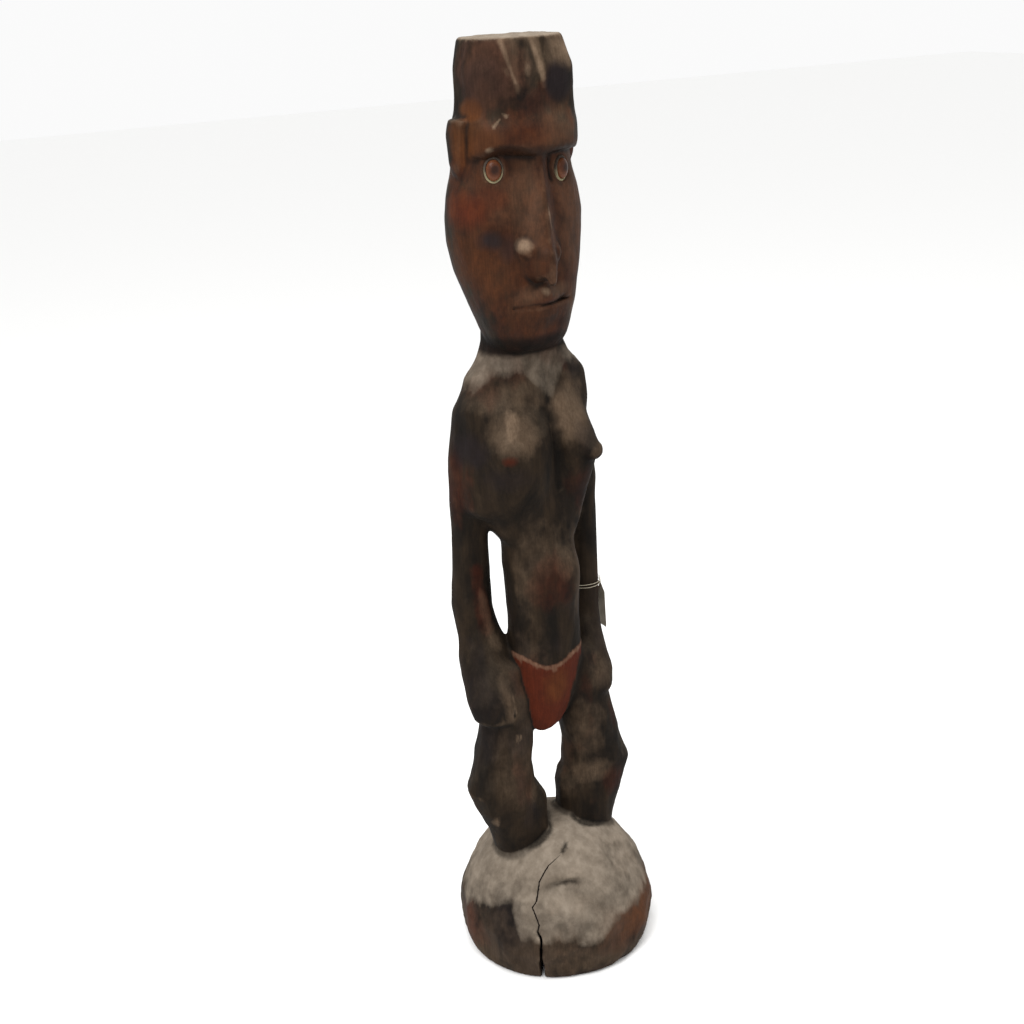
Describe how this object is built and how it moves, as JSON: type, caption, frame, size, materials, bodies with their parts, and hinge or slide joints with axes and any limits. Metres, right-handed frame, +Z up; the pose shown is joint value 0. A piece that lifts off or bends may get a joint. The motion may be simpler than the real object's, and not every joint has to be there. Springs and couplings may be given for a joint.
{
  "type": "carved ancestor figure",
  "caption": "Standing carved wooden female ancestor figure on a domed log base, with inlaid eyes, red apron panel and a strung ticket at the wrist.",
  "frame": {"origin": "centre of the base's flat underside, on the floor", "axes": "+Z up the log, the figure faces -Y, its right hand is on the -X side"},
  "size_m": [0.2904, 0.2904, 1.3],
  "materials": {
    "carved_wood": "matte",
    "eye_putty": "matte",
    "eye_shell": "satin",
    "cotton_string": "matte",
    "ticket_card": "matte",
    "ticket_patch": "matte"
  },
  "bodies": {
    "figure": {"carved_figure": "carved_wood", "right_eye_bedding": "eye_putty", "left_eye_bedding": "eye_putty", "right_eye_inlay": "eye_shell", "left_eye_inlay": "eye_shell"},
    "upper_turn": {"string_upper_turn": "cotton_string"},
    "lower_turn": {"string_lower_turn": "cotton_string"},
    "hitch": {"string_hitch": "cotton_string"},
    "ticket": {"ticket_card": "ticket_card", "ticket_patches": "ticket_patch"}
  },
  "joints": [
    {"name": "string_slides_up_forearm", "type": "slide", "parent": "figure", "child": "upper_turn", "axis": [0, 0, 1], "range_m": [0, 0.08]},
    {"name": "string_slips_round_wrist", "type": "hinge", "parent": "upper_turn", "child": "lower_turn", "pos_m": [0.09, 0.042, 0.532], "axis": [0, 0, 1], "range_deg": [-30, 30]},
    {"name": "ticket_lifts_out", "type": "hinge", "parent": "lower_turn", "child": "hitch", "pos_m": [0.115, 0.042, 0.532], "axis": [0, -1, 0], "range_deg": [0, 75]},
    {"name": "ticket_swings", "type": "hinge", "parent": "hitch", "child": "ticket", "pos_m": [0.115, 0.042, 0.5215], "axis": [1, 0, 0], "range_deg": [-35, 35]}
  ]
}
